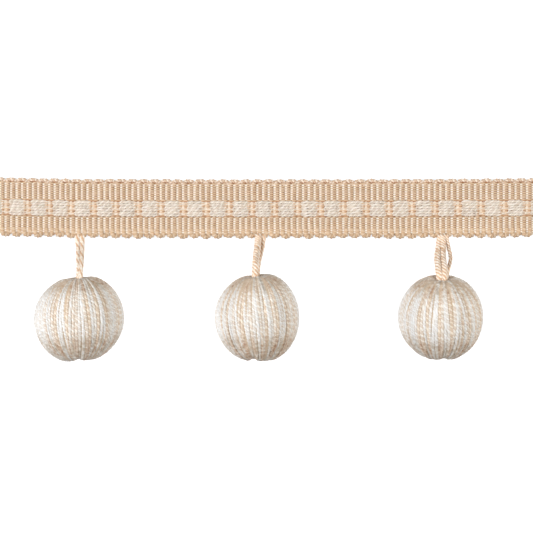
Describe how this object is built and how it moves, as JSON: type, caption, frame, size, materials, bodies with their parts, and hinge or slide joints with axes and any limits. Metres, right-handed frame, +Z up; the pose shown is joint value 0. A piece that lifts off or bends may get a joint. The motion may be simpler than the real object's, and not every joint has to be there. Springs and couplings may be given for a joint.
{
  "type": "ball fringe trim",
  "caption": "Ribbed woven heading tape with thread-wound balls hanging from its lower edge on twisted cord loops.",
  "frame": {"origin": "under the middle of the whole trim, on the surface it lies on", "axes": "+X along the heading, +Y from the balls to the heading, +Z up from the surface"},
  "size_m": [0.1742, 0.0589, 0.0278],
  "materials": {
    "heading_weave": "ribbed weave of tan yarn with cream squares",
    "hanger_cord": "two-ply twisted cord, satin",
    "ball_yarn": "cream and tan yarn wound from pole to pole"
  },
  "bodies": {
    "root": {"heading": "heading_weave", "hanger_1_left": "hanger_cord", "hanger_1_right": "hanger_cord", "hanger_2_left": "hanger_cord", "hanger_2_right": "hanger_cord", "hanger_3_left": "hanger_cord", "hanger_3_middle": "hanger_cord", "hanger_3_right": "hanger_cord", "ball_1": "ball_yarn", "ball_2": "ball_yarn", "ball_3": "ball_yarn"}
  },
  "joints": []
}
